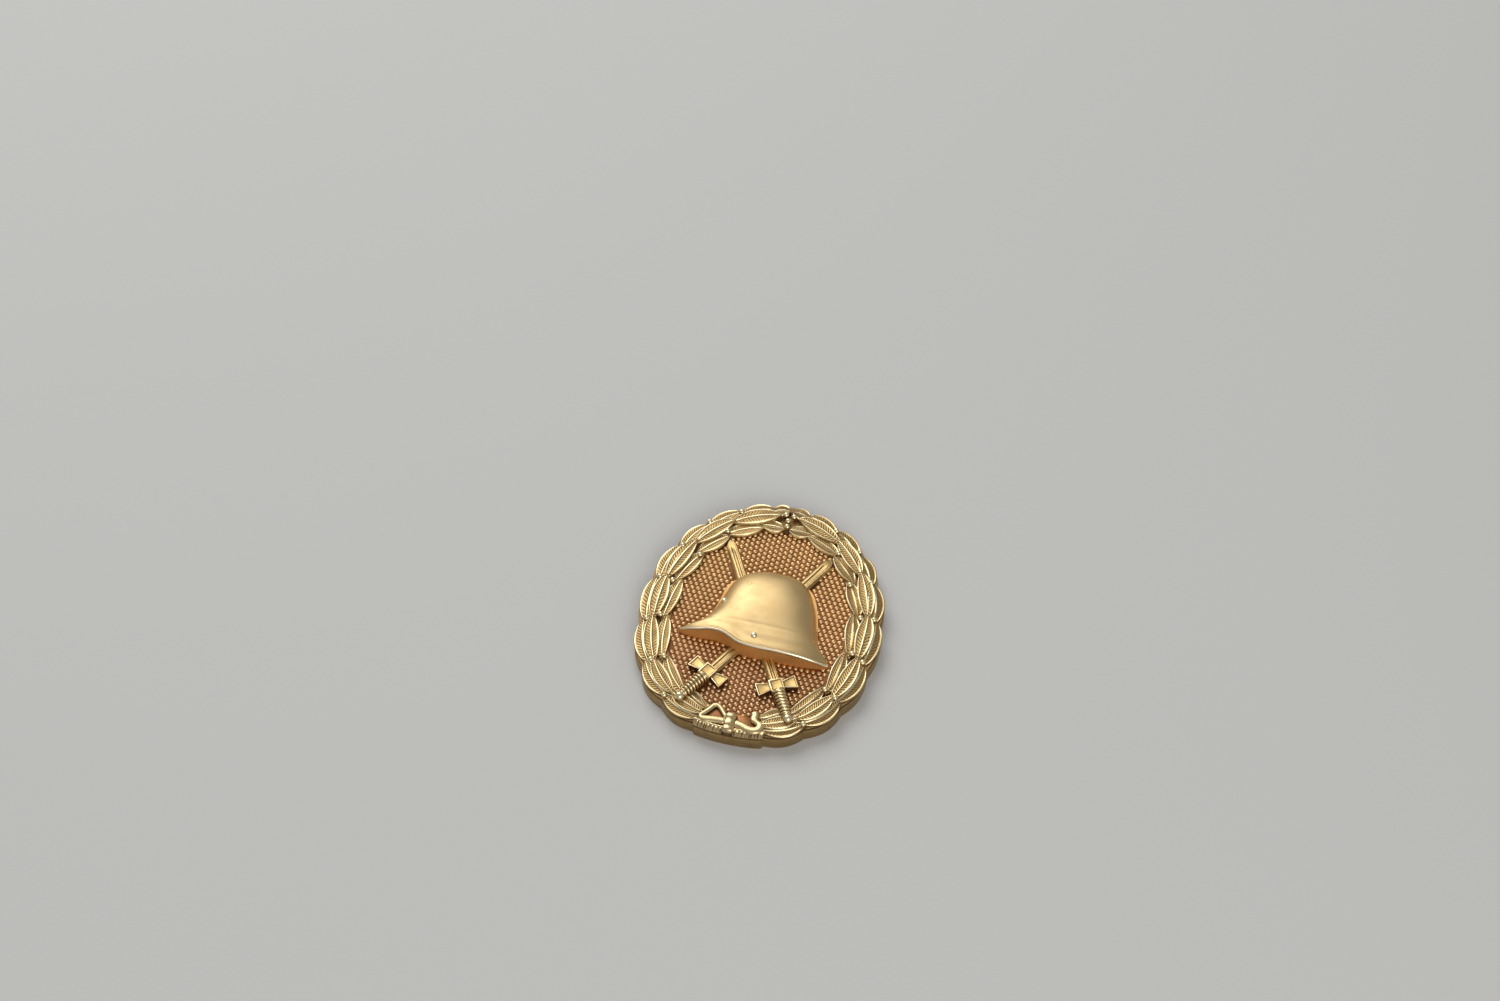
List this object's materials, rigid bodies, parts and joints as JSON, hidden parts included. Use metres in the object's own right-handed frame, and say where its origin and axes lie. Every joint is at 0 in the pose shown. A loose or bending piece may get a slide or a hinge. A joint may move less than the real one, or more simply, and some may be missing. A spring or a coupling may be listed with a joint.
{
  "type": "pin-back badge",
  "caption": "Oval pin-back badge: helmet over crossed swords on a pebbled field inside a laurel wreath, with a hinged needle and hook catch behind.",
  "frame": {"origin": "middle of the badge's outline, on the plane of the shell's back rim", "axes": "+Z out of the front face, +Y towards the top of the wreath, +X to the viewer's right"},
  "size_m": [0.0374, 0.044, 0.006],
  "materials": {
    "coppered_field": "matte copper-toned brass, pale on the worn grains",
    "satin_gold": "satin pale gold with brown patina in the recesses",
    "helmet_gold": "smooth satin gold",
    "back_brass": "dull brass",
    "pin_steel": "drawn wire, slightly dulled"
  },
  "bodies": {
    "badge": {"shell": "coppered_field", "wreath": "satin_gold", "ribbon_bow": "satin_gold", "sword_left": "satin_gold", "sword_right": "satin_gold", "helmet": "helmet_gold", "hinge_bracket": "back_brass", "hinge_rivet": "pin_steel", "catch_plate": "back_brass", "catch_hook": "back_brass"},
    "needle": {"needle": "pin_steel"}
  },
  "joints": [
    {"name": "needle_hinge", "type": "hinge", "parent": "badge", "child": "needle", "pos_m": [0, 0.0125, 0.0008], "axis": [1, 0, 0], "range_deg": [0, 110]}
  ]
}
